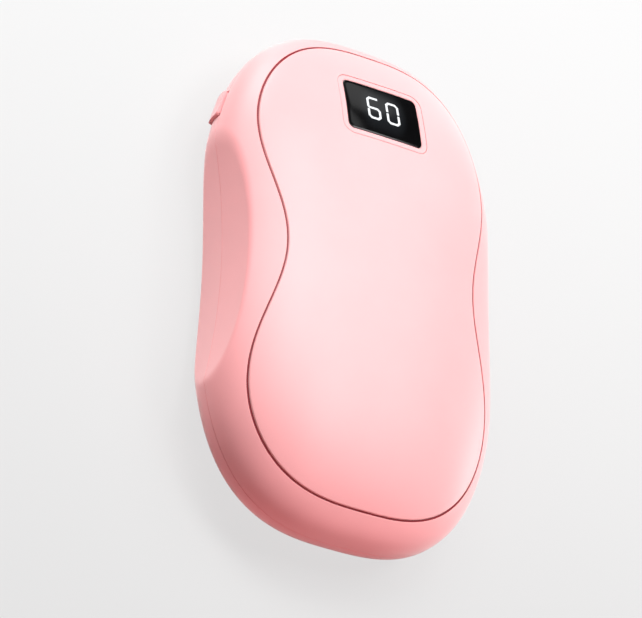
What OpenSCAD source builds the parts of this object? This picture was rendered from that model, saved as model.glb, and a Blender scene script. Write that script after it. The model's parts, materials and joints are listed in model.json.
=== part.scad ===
// Rechargeable hand warmer, lying on its back with the display end towards +Y.
// The rest face is at Z = 0, under the middle of the plan outline.

/* [Body] */
// Length of the body
body_l = 108; // [105:1:112]
// Width of the body before the side grips are cut
body_w = 66; // [64:0.5:69]
// Thickness from the rest face to the crown of the front
body_t = 28; // [27.5:0.5:31]
// Height of the parting line above the rest face
parting_h = 11.4; // [11:0.1:11.8]
// Squareness of the plan outline, 2 is an ellipse
plan_n = 2.88; // [2.7:0.02:3.1]
// Squareness of the front's cross-section
front_n = 2.21; // [2.1:0.01:2.4]
// Squareness of the back's cross-section
back_n = 2.74; // [2.6:0.02:3]
// Share by which the foot end is wider than the middle
foot_flare = 0.035; // [0:0.005:0.05]
// Depth of the flat rest face in the crown of the back
rest_cut = 0.3; // [0.2:0.05:0.5]
// Thickness of the side walls
wall_t = 2; // [1.8:0.1:2.2]

/* [Side grips] */
// Radius of the hollow in each side, seen from the front
grip_r = 125; // [110:1:140]
// Depth of the hollow at the parting line
grip_depth = 4.4; // [3.5:0.1:5]
// Distance of the hollow's middle from the middle of the body
grip_y = 1.5; // [0:0.5:4]
// Draft of the hollow, in degrees from the parting line to each face
grip_draft = 2.1; // [1:0.1:3]

/* [Panels] */
// Distance from the body's end to a panel's end
rim_end = 4.45; // [4:0.05:6]
// Distance from the body's side to a panel's side, where the panel is widest
rim_side = 2.85; // [2.5:0.05:4]
// Squareness of a panel's outline
panel_n = 2.9; // [2.6:0.05:3.2]
// Distance that a panel's waist is drawn in on each side
waist_cut = 8.4; // [6:0.1:9]
// Length scale of the waist
waist_l = 14.4; // [12:0.1:17]
// Distance of the waist from the middle of the body
waist_y = 0.4; // [0:0.1:2]
// How far the panels sit towards the charging port
panel_y = 0.3; // [0:0.1:0.5]
// Thickness of a panel
panel_t = 1.6; // [1.4:0.1:1.8]
// Width of the open seam around a panel
seam_gap = 0.4; // [0.3:0.05:0.6]
// Width of the ledge that carries a panel's edge
ledge_w = 4; // [3.5:0.1:5]
// Clearance between crowned layers that are stacked
layer_gap = 0.3; // [0.25:0.05:0.35]
// Thickness of a heat plate
plate_t = 0.8; // [0.6:0.1:0.9]
// Thickness of a heater film
film_t = 0.2; // [0.15:0.05:0.25]
// Distance that a heater film stays inside its plate's edge
film_margin = 2; // [1.5:0.1:3]
// Thickness of the deck under the heaters
deck_t = 1.2; // [1:0.05:1.3]

/* [Shell joint] */
// Height of the back shell's lip above the parting line
lip_h = 1; // [0.8:0.1:1.2]
// Distance from the outside of the wall to the lip's seat
lip_inset = 1; // [0.9:0.05:1.1]
// Clearance around the lip
lip_gap = 0.15; // [0.12:0.01:0.2]
// Distance between the upper pair of case screws
upper_screws_w = 40; // [38:0.5:41]
// Distance from the body's top end to the upper pair of case screws
upper_screws_end = 37; // [36.5:0.1:37.5]
// Distance between the lower pair of case screws
lower_screws_w = 32; // [30:0.5:33]
// Distance from the body's foot to the lower pair of case screws
lower_screws_end = 11; // [10.8:0.1:12]
// Radius of a screw boss
boss_r = 2.8; // [2.6:0.1:3]
// Radius of a case screw's shank
screw_r = 0.95; // [0.8:0.05:1]
// Length of a case screw's shank
screw_l = 8; // [7:0.1:8.2]
// Radius of a case screw's head
head_r = 1.8; // [1.6:0.1:1.9]
// Height of a case screw's head
head_h = 1.2; // [1:0.1:1.3]
// Depth of the case screws' seats below the parting line
screw_seat = 3.4; // [3:0.1:3.6]
// Radial clearance of a screw in its pilot bore
pilot_gap = 0.05; // [0.03:0.01:0.08]
// Radial clearance of a screw in a hole it passes through
screw_gap = 0.2; // [0.15:0.05:0.3]

/* [Display] */
// Distance from the body's top end to the middle of the window
window_end = 19.2; // [19:0.1:20]
// Width of the window
window_w = 17.4; // [17:0.1:18]
// Height of the window
window_h = 11.9; // [11.6:0.1:12.2]
// Corner radius of the window
window_r = 1.2; // [1:0.1:1.6]
// Thickness of the window
window_t = 1.1; // [1:0.05:1.2]
// Width of the bezel around the window
bezel_w = 1.2; // [1.1:0.05:1.4]
// Width of the lip that carries the window
bezel_lip = 0.8; // [0.7:0.05:1]
// Hairline clearance of the bezel in the panel and of the window in the bezel
hairline = 0.12; // [0.1:0.01:0.15]
// Width of a digit
digit_w = 3.3; // [3.1:0.1:3.6]
// Height of a digit
digit_h = 5.5; // [5.2:0.1:5.9]
// Distance between the middles of the digits
digit_pitch = 4.6; // [4.4:0.1:4.8]
// Distance of the digits above the middle of the window
digit_rise = 0.45; // [0:0.05:0.5]
// Width of a lit stroke
stroke_w = 0.5; // [0.45:0.01:0.6]
// Gap between strokes at a corner
stroke_gap = 0.12; // [0.1:0.01:0.16]
// Thickness of the light guide behind the window
guide_t = 0.5; // [0.4:0.05:0.6]
// Clearance of the light guide in the window
guide_gap = 0.06; // [0.05:0.01:0.08]
// Clearance between the lamp block and the bezel's opening, on each side
lamps_side_gap = 0.5; // [0.4:0.1:1.2]
// Clearance between the lamp block and the bezel's opening, at each end
lamps_end_gap = 1.15; // [1.05:0.05:1.5]
// Thickness of the lamp block
lamps_t = 4.4; // [3.8:0.1:4.8]
// Distance between the two rows of lamp pins
pin_rows = 6; // [5:0.1:6.4]
// Radius of a lamp pin
pin_r = 0.3; // [0.2:0.05:0.35]

/* [Power button] */
// Distance from the body's top end to the middle of the button
button_end = 19.85; // [19.5:0.05:20.5]
// Length of the button along the body's side
button_l = 6.2; // [5.8:0.1:6.6]
// Height of the button below the parting line
button_h = 4.6; // [4.2:0.1:4.8]
// Distance that the button stands out of the side
button_proud = 0.65; // [0.5:0.05:0.9]
// Clearance around the button
button_gap = 0.25; // [0.2:0.05:0.3]
// Inward travel of the button
button_travel = 0.4; // [0.3:0.05:0.5]
// Depth of the seat behind the side wall, from the outside
button_seat = 2.5; // [2.4:0.05:2.7]
// Distance that the button's flange reaches past the button at each end
flange_w = 1.1; // [0.9:0.1:1.3]
// Thickness of the button's flange
flange_t = 0.9; // [0.8:0.05:1]
// Clearance between the flange and its seat
flange_gap = 0.1; // [0.05:0.01:0.12]
// Length of the pip behind the flange
pip_l = 1; // [0.8:0.05:1.2]
// Radius of the pip behind the flange
pip_r = 0.9; // [0.7:0.05:1]
// Clearance between the pip and the switch's plunger
pip_gap = 0.05; // [0.03:0.01:0.08]
// Width of the switch
switch_w = 4.7; // [4.2:0.1:5]
// Height of the switch
switch_h = 1.8; // [1.7:0.05:2]
// Depth of the switch, along the button's travel
switch_d = 3.4; // [3.2:0.1:3.8]
// Radius of the switch's plunger
plunger_r = 0.6; // [0.5:0.02:0.64]
// Length of the plunger outside the switch
plunger_out = 0.7; // [0.6:0.05:0.9]
// Length of the plunger inside the switch
plunger_in = 1; // [0.8:0.05:1.2]
// Radial running clearance of the plunger
plunger_gap = 0.05; // [0.03:0.01:0.08]

/* [Charging port] */
// Width of the port's metal shell
port_w = 8.94; // [8.9:0.01:9]
// Height of the port's metal shell
port_h = 3.26; // [3.2:0.01:3.3]
// Length of the port's metal shell
port_l = 7.35; // [7:0.05:7.6]
// Thickness of the port's metal
port_t = 0.3; // [0.25:0.05:0.35]
// Distance from the body's top end to the port's mouth
port_recess = 0.8; // [0.7:0.05:1]
// Clearance around the port in the shells
port_gap = 0.25; // [0.2:0.05:0.35]
// Width of the contact tongue
tongue_w = 6.69; // [6.6:0.01:6.75]
// Thickness of the contact tongue
tongue_t = 0.7; // [0.6:0.05:0.75]
// Distance from the port's mouth to the end of the contact tongue
tongue_back = 0.9; // [0.7:0.05:1.2]
// Length of the insulating block behind the contact tongue
tongue_root = 1.6; // [1.2:0.1:2]
// Clearance between the insulating block and the metal shell
tongue_gap = 0.05; // [0.04:0.01:0.08]

/* [Main board] */
// Thickness of the main board
board_t = 1.2; // [1:0.05:1.3]
// Gap between the board and the port's metal shell
board_gap = 0.07; // [0.05:0.01:0.1]
// Clearance between the board's edge and the bosses of the upper screws
board_boss_gap = 1.7; // [1.5:0.1:2.2]
// Share of the body's plan outline that the board's edge follows
board_share = 0.84; // [0.82:0.01:0.86]
// Half width of the tab that carries the port
board_tab = 5.8; // [5.4:0.1:6]
// Clearance between the tab and the end wall
tab_gap = 0.3; // [0.25:0.05:0.5]
// Distance between the outer two board screws
board_screws_w = 32; // [31:0.5:33]
// Distance from the board's lower edge to the outer two board screws
board_screws_y = 4.5; // [4:0.1:5]
// Distance from the body's top end to the middle board screw
middle_screw_end = 12; // [12:0.1:12.6]
// Radius of a board screw's shank
board_screw_r = 0.7; // [0.6:0.05:0.75]
// Length of a board screw's shank
board_screw_l = 3.2; // [3:0.05:3.3]
// Radius of a board screw's head
board_head_r = 1.4; // [1.2:0.05:1.5]
// Height of a board screw's head
board_head_h = 0.8; // [0.6:0.05:1]
// Radius of a post under the board or under the tray
post_r = 2; // [1.8:0.1:2.2]
// Side of the controller chip
controller_w = 5; // [4:0.1:5.4]
// Height of the controller chip
controller_h = 0.9; // [0.8:0.05:1]
// Side of the charging chip
charger_w = 4; // [3:0.1:4.5]
// Height of the charging chip
charger_h = 0.8; // [0.7:0.05:1]
// Side of the power inductor
inductor_w = 6; // [5:0.1:6.4]
// Height of the power inductor
inductor_h = 2.8; // [2.4:0.1:3]
// Length of a capacitor
capacitor_l = 1.6; // [1.2:0.1:2]
// Width and height of a capacitor
capacitor_w = 0.8; // [0.6:0.05:1]
// Distance between neighbouring capacitors
capacitor_pitch = 2; // [1.6:0.1:2.2]

/* [Battery] */
// Clearance between the tray and the bosses of the upper screws
tray_boss_gap = 1.4; // [1.2:0.1:4]
// Width of the battery cell
cell_w = 38; // [34:0.5:38.5]
// Clearance between the battery cell's corners and the front shell
cell_top_gap = 0.36; // [0.3:0.02:0.6]
// Corner radius of the battery cell
cell_r = 3; // [2.5:0.1:4]
// Distance from the body's foot to the battery cell
cell_end = 17.5; // [17.2:0.1:18]
// Length of the terminal ledge
terminal_l = 4; // [3.6:0.1:4.2]
// Width of the terminal ledge
terminal_w = 30; // [26:0.5:32]
// Height of the terminal ledge
terminal_h = 3.8; // [3:0.1:4.2]
// Thickness of the protection board on the terminal ledge
guard_t = 0.8; // [0.6:0.05:1]
// Distance that the protection board stays inside the terminal ledge
guard_inset = 0.4; // [0.2:0.05:0.6]
// Clearance between the tray's corners and the back shell
tray_low_gap = 0.05; // [0.05:0.05:0.4]
// Clearance between the battery cell and its tray
tray_gap = 0.3; // [0.2:0.05:0.35]
// Thickness of the tray's floor and walls
tray_t = 1; // [0.8:0.05:1]
// Height of the tray's walls above its floor
tray_h = 5; // [4:0.1:5.5]
// Distance between the tray's posts, across the body
tray_posts_w = 28; // [26:0.5:30]
// Distance between the tray's posts, along the body
tray_posts_l = 32; // [28:0.5:34]
// Width of the foam pad over the battery cell
pad_w = 26; // [22:0.5:28]
// Length of the foam pad over the battery cell
pad_l = 34; // [30:0.5:36]
// Clearance between flat inner pieces that lie on each other
seat_gap = 0.1; // [0.05:0.01:0.12]

/* [Leads] */
// Radius of a battery lead
power_lead_r = 0.6; // [0.5:0.05:0.65]
// Distance between the battery leads
power_leads_w = 5; // [4:0.1:5.4]
// Radius of a heater lead
heater_lead_r = 0.5; // [0.4:0.05:0.55]
// Distance between the two leads of one heater
heater_leads_w = 2; // [1.6:0.1:2.2]
// Distance from the board's edge to the joints of the battery leads and the sensor
lead_landing = 2; // [1.8:0.1:2.4]
// Distance from the board's edge to the joints of the heaters' leads
heater_landing = 3.5; // [3.2:0.1:4]
// Distance of a heater's leads from the middle of the body
heater_leads_x = 10; // [9.6:0.1:10.4]
// Radius of the hole that a heater's leads pass through
lead_hole_r = 2.2; // [2:0.05:2.4]
// Distance from the body's top end to the front heater's lead hole
front_hole_end = 33; // [32.6:0.1:33.4]
// Distance from the body's top end to the back heater's lead hole
back_hole_end = 37; // [36.5:0.1:37.5]
// Radius of the temperature sensor's bead
bead_r = 1; // [0.8:0.05:1.1]
// Radius of the temperature sensor's lead
sensor_lead_r = 0.4; // [0.3:0.05:0.45]
// Clearance between the foam pad and the temperature sensor's bead
sensor_gap = 1.2; // [0.8:0.1:1.6]
// Distance across from a board screw to the sensor's joint
sensor_landing = 3; // [2.6:0.1:3.4]

/* [Hidden] */

FRONT = 1;
BACK = -1;
around = 64;
turn = 360 / around;
round_fn = 48;
grip_fn = 360;
cavity_steps = 7;
flank_steps = 7;
disc_steps = 7;
cut_over = 1;
merge = 0.6;

half_l = body_l / 2;
half_w = body_w / 2;
front_rise = body_t - parting_h;
back_rise = parting_h + rest_cut;
panel_a = half_w - rim_side;
panel_b = half_l - rim_end;
grip_x0 = half_w - grip_depth + grip_r;

seat_drop = panel_t + layer_gap;
plate_top = seat_drop;
film_top = plate_top + plate_t + layer_gap / 2;
film_low = film_top + film_t;
pocket_drop = film_low + layer_gap / 2;
deck_drop = pocket_drop + deck_t;

window_y = half_l - window_end;
bezel_drop = pocket_drop - layer_gap;
lamps_w = window_w - 2 * bezel_lip - 2 * lamps_side_gap;
lamps_h = window_h - 2 * bezel_lip - 2 * lamps_end_gap;
guide_top = window_t + hairline + seat_gap;
guide_low = guide_top + guide_t;
lamps_top = guide_low + layer_gap;

button_y = half_l - button_end;
port_y = half_l - port_recess;
board_top = -port_h / 2 - board_gap;
board_low = board_top - board_t;
upper_screws_y = half_l - upper_screws_end;
board_y = upper_screws_y + boss_r + board_boss_gap;
end_wall_y = half_l - wall_t - tab_gap;
cell_foot = -half_l + cell_end;
tray_end = upper_screws_y - boss_r - tray_boss_gap;
cell_l = tray_end - tray_t - tray_gap - terminal_l - cell_foot;
cell_y = cell_foot + cell_l / 2;
bore_r = screw_r + pilot_gap;
bore_depth = screw_l - screw_seat + 3 * pilot_gap;

// ---- shapes of the body ----

// Direction t as a point of a unit superellipse
function unit_dir(t, n) =
    let (c = cos(t), s = sin(t))
    [c, s] / pow(pow(abs(c), n) + pow(abs(s), n), 1 / n);

// Width at y, as a share of the width in the middle
function flare(y) = 1 - foot_flare * y / half_l;

// Point of the body's outline, moved in by inset and scaled by share
function plan_point(t, inset, share = 1) =
    let (d = unit_dir(t, plan_n), y = (half_l - inset) * d.y * share)
    [(half_w - inset) * d.x * share * flare(y), y];

// Point of a panel's outline, moved in by inset
function panel_point(t, inset) =
    let (d = unit_dir(t, panel_n))
    let (y = panel_y + (panel_b - inset) * d.y)
    let (waist = waist_cut * exp(-pow((y - waist_y) / waist_l, 2) / 2))
    [(panel_a - inset - waist) * d.x * flare(y), y];

// Place of p between the middle, 0, and the outline moved in by inset, 1
function plan_share(p, inset) =
    pow(pow(abs(p.x) / ((half_w - inset) * flare(p.y)), plan_n)
        + pow(abs(p.y) / (half_l - inset), plan_n), 1 / plan_n);

function crown(share, rise, n) = rise * pow(max(0, 1 - pow(share, n)), 1 / n);
function rise_of(side) = side == FRONT ? front_rise : back_rise;
function crown_n(side) = side == FRONT ? front_n : back_n;

// Height of the outer surface over p, measured from the parting plane
function height(p, side) = crown(plan_share(p, 0), rise_of(side), crown_n(side));

// Height of the inner surface over p
function cavity_height(p, side) =
    min(height(p, side) - deck_drop,
        crown(plan_share(p, wall_t), rise_of(side) - wall_t, crown_n(side)));

// Distance of the grip's surface from the middle, at y and height z
function grip_x(y, z) =
    grip_x0 - sqrt(pow(grip_r + tan(grip_draft) * abs(z), 2) - pow(y - grip_y, 2));

// Point p at height z, kept a wall's inset inside the grips
function inside_grip(p, z, inset) =
    [sign(p.x) * min(abs(p.x), grip_x(p.y, z) - inset), p.y, z];

// Distance of the body's side from the middle, at the parting plane
function side_x(y) = half_w * flare(y) * pow(1 - pow(abs(y) / half_l, plan_n), 1 / plan_n);

button_x = side_x(button_y);
button_tilt = atan((side_x(button_y - 0.5) - side_x(button_y + 0.5)));
button_sag = button_x * (1 - crown(button_h / back_rise, 1, back_n));
button_crown_r = (pow(button_h, 2) / button_sag + button_sag) / 2;
tray_corner = [cell_w / 2 + tray_gap + tray_t, cell_foot - tray_gap - tray_t];
tray_floor = deck_drop - height(tray_corner, BACK) + tray_low_gap;
cell_low = -tray_floor - tray_t - seat_gap;
cell_top = height([cell_w / 2, cell_foot], FRONT) - deck_drop - cell_top_gap;
window_slope = height([0, window_y + 0.5], FRONT) - height([0, window_y - 0.5], FRONT);
window_tilt = atan(window_slope);
lamps_lean = -deck_drop * sin(window_tilt);

// ---- general shapes ----

// Closed solid through a list of rings, with a point at each end
module ring_solid(start, rings, end) {
    n = len(rings[0]);
    m = len(rings);
    last = m * n + 1;
    start_faces = [for (i = [0:n - 1]) [0, 1 + i, 1 + (i + 1) % n]];
    side_faces = [for (k = [0:m - 2], i = [0:n - 1])
        let (a = 1 + k * n + i, b = 1 + k * n + (i + 1) % n)
        each [[a, a + n, b], [b, a + n, b + n]]];
    end_faces = [for (i = [0:n - 1])
        let (a = 1 + (m - 1) * n + i, b = 1 + (m - 1) * n + (i + 1) % n)
        [a, last, b]];
    points = concat([start], [for (ring = rings) each ring], [end]);
    polyhedron(points, concat(start_faces, side_faces, end_faces), convexity = 8);
}

function scaled(outline, centre, share) = [for (p = outline) centre + (p - centre) * share];

// Outline laid at a depth below the outer surface
function laid(outline, side, depth) =
    [for (p = outline) [p.x, p.y, height(p, side) - depth]];

// Share of the way out of ring k of n, closer together near the edge
function disc_share(k, n) = sin(90 * k / n);

// Slab with vertical edges between two depths below the outer surface
module crowned_slab(outline, centre, side, top, low, steps) {
    under = [for (k = [1:steps]) laid(scaled(outline, centre, disc_share(k, steps)), side, low)];
    over = [for (k = [steps:-1:1])
        laid(scaled(outline, centre, disc_share(k, steps)), side, top)];
    ring_solid(laid([centre], side, low)[0], concat(under, over), laid([centre], side, top)[0]);
}

function panel_outline(inset) = [for (i = [0:around - 1]) panel_point(i * turn, inset)];

// Rounded rectangle with six points on each corner
function rounded(w, h, r) =
    [for (quarter = [0:3], i = [0:5])
        let (t = quarter * 90 + i * 18)
        let (sx = (quarter == 0 || quarter == 3) ? 1 : -1, sy = quarter < 2 ? 1 : -1)
        [sx * (w / 2 - r) + r * cos(t), sy * (h / 2 - r) + r * sin(t)]];

function moved(outline, place) = [for (p = outline) p + place];

// Flat slot shape with half-round ends
module stadium(w, h) {
    square([w - h, h], center = true);
    for (x = [-1, 1]) translate([x * (w - h) / 2, 0]) circle(d = h, $fn = round_fn);
}

// Column from a flat face at height z0 to a depth below the outer surface
module column(place, r, z0, side, depth) {
    outline = [for (i = [0:23]) place + r * [cos(i * 15), sin(i * 15)]];
    foot = [for (p = outline) [p.x, p.y, z0]];
    ring_solid([place.x, place.y, z0], [foot, laid(outline, side, depth)],
        laid([place], side, depth)[0]);
}

function unit(v) = v / norm(v);

// Ring of a tube at point i of its route
function tube_ring(route, i, r) =
    let (d = unit(route[min(i + 1, len(route) - 1)] - route[max(i - 1, 0)]))
    let (across = unit([1, 0, 0] - d * d.x))
    let (up = cross(d, across))
    [for (k = [0:7]) route[i] + r * (across * cos(k * 45) + up * sin(k * 45))];

// Round lead swept along a route
module tube(route, r) {
    last = len(route) - 1;
    ring_solid(route[0], [for (i = [0:last]) tube_ring(route, i, r)], route[last]);
}

// ---- frames of reference ----

// Heights are measured from the parting plane, upwards on both sides
module on_side(side) {
    translate([0, 0, parting_h]) mirror([0, 0, side == BACK ? 1 : 0]) children();
}

module at_parting() {
    translate([0, 0, parting_h]) children();
}

// Local X points out of the side wall, through the middle of the button
module at_button() {
    translate([-button_x, button_y, parting_h]) rotate(180 - button_tilt) children();
}

// Local Z points out of the window
module at_window(depth) {
    translate([0, window_y, parting_h + height([0, window_y], FRONT)])
        rotate([window_tilt, 0, 0])
            translate([0, 0, -depth]) children();
}

// ---- the two shells ----

function upper_screws() = [for (s = [-1, 1]) [s * upper_screws_w / 2, upper_screws_y]];
function lower_screws() = [for (s = [-1, 1]) [s * lower_screws_w / 2, -half_l + lower_screws_end]];
function case_screw_places() = concat(upper_screws(), lower_screws());

function board_screw_places() =
    [[-board_screws_w / 2, board_y + board_screws_y],
        [board_screws_w / 2, board_y + board_screws_y],
        [0, half_l - middle_screw_end]];

function tray_post_places() =
    [for (x = [-1, 1], y = [-1, 1]) [x * tray_posts_w / 2, cell_y + y * tray_posts_l / 2]];

// Ring of the inner surface, no lower than z0
function cavity_ring(side, k, z0) =
    [for (i = [0:around - 1])
        let (p = plan_point(i * turn, wall_t, sin(90 * k / cavity_steps)))
        inside_grip(p, max(z0, cavity_height(p, side)), wall_t)];

// Ring on the rim at an inset from the outside
function rim_ring(inset, z) =
    [for (i = [0:around - 1]) inside_grip(plan_point(i * turn, inset), z, inset)];

function outer_rim() = [for (i = [0:around - 1]) concat(plan_point(i * turn, 0), [0])];

// Ring on the outer surface, k steps from the rim to the seam
function flank_ring(side, k) =
    let (share = pow(k / flank_steps, 2.2))
    laid([for (i = [0:around - 1])
        let (rim = plan_point(i * turn, 0), seam = panel_point(i * turn, -seam_gap / 2))
        rim + (seam - rim) * share], side, 0);

// Shell with its panel recess: the inner surface, the rim, the outside and the recess
module shell_skin(side, rim_rings, cavity_low) {
    seam = panel_outline(-seam_gap / 2);
    pocket = panel_outline(ledge_w);
    inner = [for (k = [1:cavity_steps]) cavity_ring(side, k, cavity_low)];
    flank = [for (k = [1:flank_steps]) flank_ring(side, k)];
    recess = [laid(seam, side, seat_drop), laid(panel_outline(ledge_w / 2), side, seat_drop),
        laid(pocket, side, seat_drop)];
    deck = [for (k = [disc_steps:-1:1])
        laid(scaled(pocket, [0, 0], disc_share(k, disc_steps)), side, pocket_drop)];
    ring_solid([0, 0, cavity_height([0, 0], side)],
        concat(inner, rim_rings, [outer_rim()], flank, recess, deck),
        [0, 0, height([0, 0], side) - pocket_drop]);
}

// Hollow grips, one cone in each side
module grips() {
    reach = body_t;
    for (s = [-1, 1])
        translate([s * grip_x0, grip_y, -cut_over])
            cylinder(h = reach, r1 = grip_r - tan(grip_draft) * cut_over,
                r2 = grip_r + tan(grip_draft) * (reach - cut_over), $fn = grip_fn);
}

// Room for the port and the board's tab inside the end wall
module port_room() {
    y = (board_y + half_l) / 2;
    low = board_low - layer_gap;
    high = port_h / 2 + layer_gap;
    side = board_tab + layer_gap;
    at_parting()
        translate([-side, y, low])
            cube([2 * side, end_wall_y + tab_gap - y, high - low]);
}

// Port opening through the end wall
module port_opening() {
    at_parting()
        translate([0, half_l + cut_over, 0])
            rotate([90, 0, 0])
                linear_extrude(port_l + cut_over)
                    stadium(port_w + 2 * port_gap, port_h + 2 * port_gap);
}

// Room behind the side wall for the button's flange and its travel
module flange_room() {
    across = button_l + 2 * flange_w + 2 * button_gap;
    low = -button_h - 2 * button_gap;
    high = flange_w + button_gap;
    deep = flange_gap + flange_t + pip_l + plunger_out + button_travel;
    at_button()
        translate([-button_seat - deep, -across / 2, low])
            cube([deep, across, high - low]);
}

// Notch for the button, open at the parting line
module button_notch() {
    across = button_l + 2 * button_gap;
    low = -button_h - 2 * button_gap;
    at_button()
        translate([-button_seat - cut_over, -across / 2, low])
            cube([button_seat + 3 * cut_over, across, -low]);
}

module front_shell() {
    ledge = rim_ring(lip_inset, lip_h + lip_gap);
    color("pink") difference() {
        on_side(FRONT) difference() {
            union() {
                shell_skin(FRONT, [ledge, rim_ring(lip_inset, 0)], lip_h + lip_gap);
                for (place = case_screw_places())
                    column(place, boss_r, seat_gap / 2, FRONT, deck_drop - merge);
            }
            grips();
            for (place = case_screw_places())
                translate([place.x, place.y, -cut_over])
                    cylinder(h = bore_depth + cut_over, r = bore_r, $fn = round_fn);
            translate([heater_leads_x, half_l - front_hole_end, 0])
                cylinder(h = body_t, r = lead_hole_r, $fn = round_fn);
            linear_extrude(body_t)
                polygon(moved(rounded(window_w - 2 * bezel_lip,
                    window_h - 2 * bezel_lip + lamps_lean, window_r),
                    [0, window_y - lamps_lean / 2]));
        }
        port_room();
        port_opening();
        flange_room();
    }
}

module back_shell() {
    lip_out = lip_inset + lip_gap;
    lip_rings = [rim_ring(wall_t, -lip_h), rim_ring(lip_out, -lip_h), rim_ring(lip_out, 0)];
    color("pink") difference() {
        on_side(BACK) difference() {
            union() {
                shell_skin(BACK, lip_rings, 0);
                for (place = case_screw_places())
                    column(place, boss_r, seat_gap / 2, BACK, deck_drop - merge);
                for (place = board_screw_places())
                    column(place, post_r, -board_low + seat_gap / 2, BACK, deck_drop - merge);
                for (place = tray_post_places())
                    column(place, post_r, -tray_floor + seat_gap / 2, BACK, deck_drop - merge);
            }
            grips();
            for (place = case_screw_places()) translate([place.x, place.y, 0]) {
                translate([0, 0, -cut_over])
                    cylinder(h = body_t, r = screw_r + screw_gap, $fn = round_fn);
                translate([0, 0, screw_seat])
                    cylinder(h = body_t, r = head_r + screw_gap, $fn = round_fn);
            }
            for (place = board_screw_places())
                translate([place.x, place.y, 0])
                    cylinder(h = board_screw_l - board_top - board_t + 2 * seat_gap + board_t,
                        r = board_screw_r + pilot_gap, $fn = round_fn);
            translate([-heater_leads_x, half_l - back_hole_end, 0])
                cylinder(h = body_t, r = lead_hole_r, $fn = round_fn);
        }
        port_room();
        port_opening();
        flange_room();
        button_notch();
    }
}

// ---- panels and heaters ----

module panel_slab(side) {
    on_side(side)
        crowned_slab(panel_outline(seam_gap / 2), [0, 0], side, 0, panel_t, disc_steps);
}

// Upright cut through the front layers, around the window
module window_cut(grow) {
    at_parting()
        linear_extrude(body_t)
            polygon(moved(rounded(window_w + 2 * bezel_w + 2 * grow,
                window_h + 2 * bezel_w + 2 * grow, window_r + bezel_w + grow), [0, window_y]));
}

module front_panel() {
    color("lightpink") difference() {
        panel_slab(FRONT);
        window_cut(hairline);
    }
}

module back_panel() {
    color("lightpink") difference() {
        panel_slab(BACK);
        translate([-half_w, -half_l, -body_t]) cube([body_w, body_l, body_t]);
    }
}

module heat_plate(side) {
    on_side(side)
        crowned_slab(panel_outline(ledge_w + layer_gap), [0, 0], side,
            plate_top, plate_top + plate_t, disc_steps);
}

module heater_film(side) {
    on_side(side)
        crowned_slab(panel_outline(ledge_w + film_margin), [0, 0], side,
            film_top, film_low, disc_steps);
}

module front_heat_plate() {
    color("silver") difference() {
        heat_plate(FRONT);
        window_cut(layer_gap);
    }
}

module back_heat_plate() {
    color("silver") heat_plate(BACK);
}

// The front film stops short of the display
module front_heater_film() {
    end_y = window_y - window_h / 2 - bezel_w - film_margin / 2;
    color("darkorange") difference() {
        heater_film(FRONT);
        translate([-half_w, end_y, 0]) cube([body_w, half_l, 2 * body_t]);
    }
}

module back_heater_film() {
    color("darkorange") heater_film(BACK);
}

// ---- display ----

module window_slab(grow, top, low) {
    outline = moved(rounded(window_w + 2 * grow, window_h + 2 * grow, window_r + grow),
        [0, window_y]);
    on_side(FRONT) crowned_slab(outline, [0, window_y], FRONT, top, low, 2);
}

module display_bezel() {
    color("pink") difference() {
        window_slab(bezel_w, 0, bezel_drop);
        window_slab(0, -cut_over, window_t + hairline);
        at_parting()
            linear_extrude(body_t)
                polygon(moved(rounded(window_w - 2 * bezel_lip, window_h - 2 * bezel_lip,
                    window_r), [0, window_y]));
    }
}

// Middle of each stroke as shares of the digit's half width and half height, and its turn
strokes = [[0, 1, 0], [1, 0.5, 90], [1, -0.5, 90], [0, -1, 0], [-1, -0.5, 90], [-1, 0.5, 90],
    [0, 0, 0]];
six = [0, 2, 3, 4, 5, 6];
zero = [0, 1, 2, 3, 4, 5];
stroke_x = (digit_w - stroke_w) / 2;
stroke_y = (digit_h - stroke_w) / 2;

// Pointed bar, grown by grow
function stroke_outline(l, grow) =
    let (a = l / 2 - stroke_gap + grow, b = stroke_w / 2 + grow)
    [[a, 0], [a - b, b], [b - a, b], [-a, 0], [b - a, -b], [a - b, -b]];

function turned(outline, quarter) = quarter == 0 ? outline : [for (p = outline) [-p.y, p.x]];

// Outlines of the strokes of one digit, around its own middle
function digit_outlines(lit, grow) =
    [for (s = lit)
        let (stroke = strokes[s], upright = stroke[2] == 90)
        moved(turned(stroke_outline(upright ? stroke_y : 2 * stroke_x, grow), upright ? 1 : 0),
            [stroke[0] * stroke_x, stroke[1] * stroke_y])];

function digit_place(i) = [(i - 0.5) * digit_pitch, window_y + digit_rise];

function number_outlines(grow) =
    [for (i = [0, 1]) each [for (o = digit_outlines(i == 0 ? six : zero, grow))
        moved(o, digit_place(i))]];

function middle_of(outline) = (outline[0] + outline[3]) / 2;

module display_window() {
    color("black") difference() {
        window_slab(-hairline, guide_gap, window_t);
        at_parting()
            linear_extrude(body_t)
                for (outline = number_outlines(guide_gap)) polygon(outline);
    }
}

module display_digits() {
    base = moved(rounded(window_w - 2 * bezel_lip - 2 * layer_gap,
        window_h - 2 * bezel_lip - 2 * layer_gap, window_r - layer_gap), [0, window_y]);
    color("white") on_side(FRONT) {
        crowned_slab(base, [0, window_y], FRONT, guide_top, guide_low, 2);
        for (outline = number_outlines(0))
            crowned_slab(outline, middle_of(outline), FRONT, guide_gap,
                guide_top + guide_t / 2, 1);
    }
}

module display_lamps() {
    color("dimgray") at_window(lamps_top + lamps_t)
        translate([-lamps_w / 2, -lamps_h / 2, 0]) cube([lamps_w, lamps_h, lamps_t]);
}

// Height of the lamp block's underside over y, from the parting plane
function lamps_under(y) =
    height([0, window_y], FRONT) - (lamps_top + lamps_t) / cos(window_tilt)
        + (y - window_y) * window_slope;

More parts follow.
